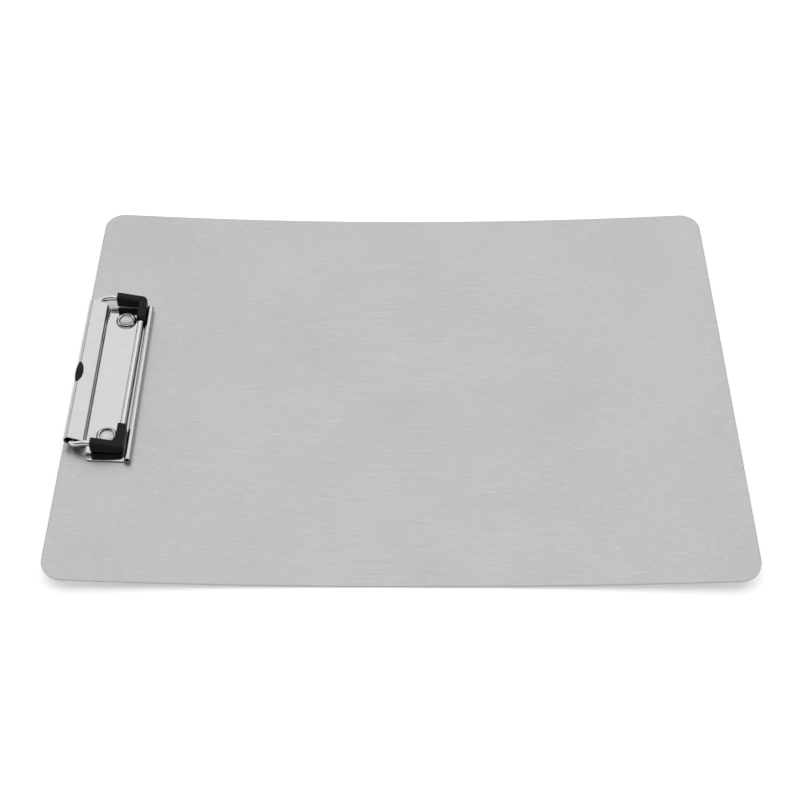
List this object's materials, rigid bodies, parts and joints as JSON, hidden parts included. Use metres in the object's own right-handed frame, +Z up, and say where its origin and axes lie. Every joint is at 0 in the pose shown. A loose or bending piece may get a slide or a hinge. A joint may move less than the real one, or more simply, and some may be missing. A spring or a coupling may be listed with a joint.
{
  "type": "clipboard",
  "caption": "Bowed brushed-steel clipboard for portrait paper with a sprung wire clip riveted across one short end; pressing the folded lever lifts the wire's front bar.",
  "frame": {"origin": "middle of the board's plan, on the surface the bowed board lies on", "axes": "+X along the board away from the clip, +Y across the board, +Z up off the writing face"},
  "size_m": [0.315, 0.225, 0.014],
  "materials": {
    "board_steel": "brushed along the length",
    "clip_plate": "bright nickel plate on pressed steel",
    "wire_chrome": "polished plated spring wire",
    "rivet_steel": "plated steel, matt in the bore",
    "black_plastic": "moulded black plastic, slight sheen",
    "spring_steel": "tempered strip"
  },
  "bodies": {
    "board_body": {"board": "board_steel", "clip_base": "clip_plate", "rivet_far": "rivet_steel", "rivet_near": "rivet_steel", "leaf_spring": "spring_steel"},
    "clip_lever": {"lever": "clip_plate", "bail_wire": "wire_chrome", "corner_sleeve_far": "black_plastic", "corner_sleeve_near": "black_plastic", "lever_bumper": "black_plastic"}
  },
  "joints": [
    {"name": "lever_press", "type": "hinge", "parent": "board_body", "child": "clip_lever", "pos_m": [-0.14891, 0.0006, 0.00861], "axis": [0, -1, 0], "range_deg": [0, 15], "stiffness_Nm_per_rad": 0.38, "springref_deg": -22.35, "deforming": ["leaf_spring"]}
  ]
}
